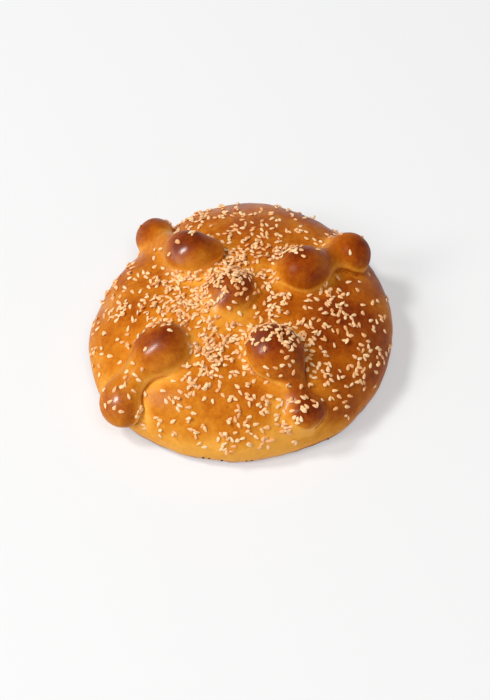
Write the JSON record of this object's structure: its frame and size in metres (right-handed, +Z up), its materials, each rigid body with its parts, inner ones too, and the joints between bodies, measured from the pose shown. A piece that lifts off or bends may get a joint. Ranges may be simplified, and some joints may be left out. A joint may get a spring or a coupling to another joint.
{
  "type": "pan de muerto",
  "caption": "Round egg-washed sweet bun with knobbed dough bones laid out from a ball of dough on its crown and sesame seeds over the top, resting on its flat base.",
  "frame": {"origin": "centre of the flat base that the bun was baked on", "axes": "+Z up through the crown, -Y towards the side that the picture shows in front, +X to its right"},
  "size_m": [0.1657, 0.1636, 0.0605],
  "materials": {
    "crust": "satin",
    "browned_crust": "satin",
    "sesame": "satin"
  },
  "bodies": {
    "root": {"bun": "crust", "bone_back_right": "browned_crust", "bone_back_left": "browned_crust", "bone_front_left": "browned_crust", "bone_front_right": "browned_crust", "ball": "browned_crust"}
  },
  "joints": []
}
